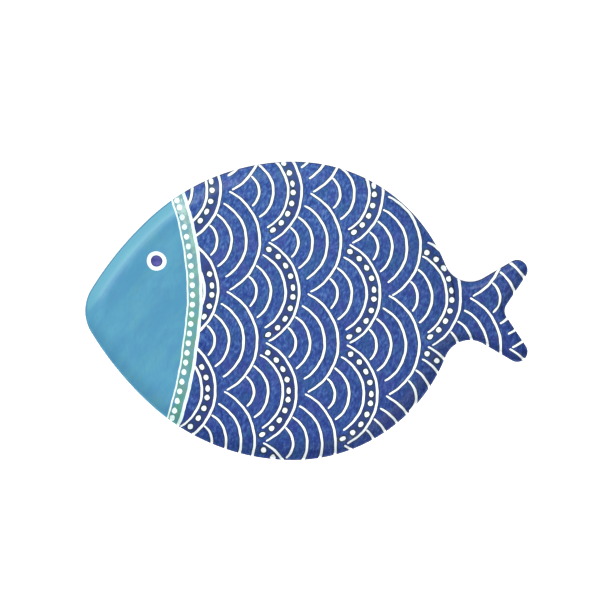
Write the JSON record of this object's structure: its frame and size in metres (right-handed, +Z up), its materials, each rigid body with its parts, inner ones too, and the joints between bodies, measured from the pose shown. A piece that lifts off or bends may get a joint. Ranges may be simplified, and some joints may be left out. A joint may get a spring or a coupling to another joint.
{
  "type": "serving platter",
  "caption": "Fish shaped serving platter: shallow dish with a raised rim, a notched tail to hold it by, a foot underneath and a printed scale pattern on top.",
  "frame": {"origin": "centre of the outline, on the surface that the platter stands on", "axes": "+X from the nose to the tail, +Y to the fish's back, +Z up out of the dish"},
  "size_m": [0.406, 0.274, 0.0162],
  "materials": {
    "moulded_body": "glossy white moulded melamine",
    "head_print": "sky blue print under a clear gloss",
    "gill_print": "pale green print under a clear gloss",
    "scale_print": "mottled cobalt blue print under a clear gloss",
    "white_print": "white printed lines and dots under a clear gloss",
    "navy_print": "dark navy print under a clear gloss",
    "pupil_print": "violet blue print under a clear gloss"
  },
  "bodies": {
    "root": {"platter_body": "moulded_body", "head_foil": "head_print", "gill_foil": "gill_print", "scale_foil": "scale_print", "gill_lines": "white_print", "gill_dots": "white_print", "scale_lines": "white_print", "dot_bands": "navy_print", "scale_dots": "white_print", "eye_ring": "white_print", "eye_pupil": "pupil_print"}
  },
  "joints": []
}
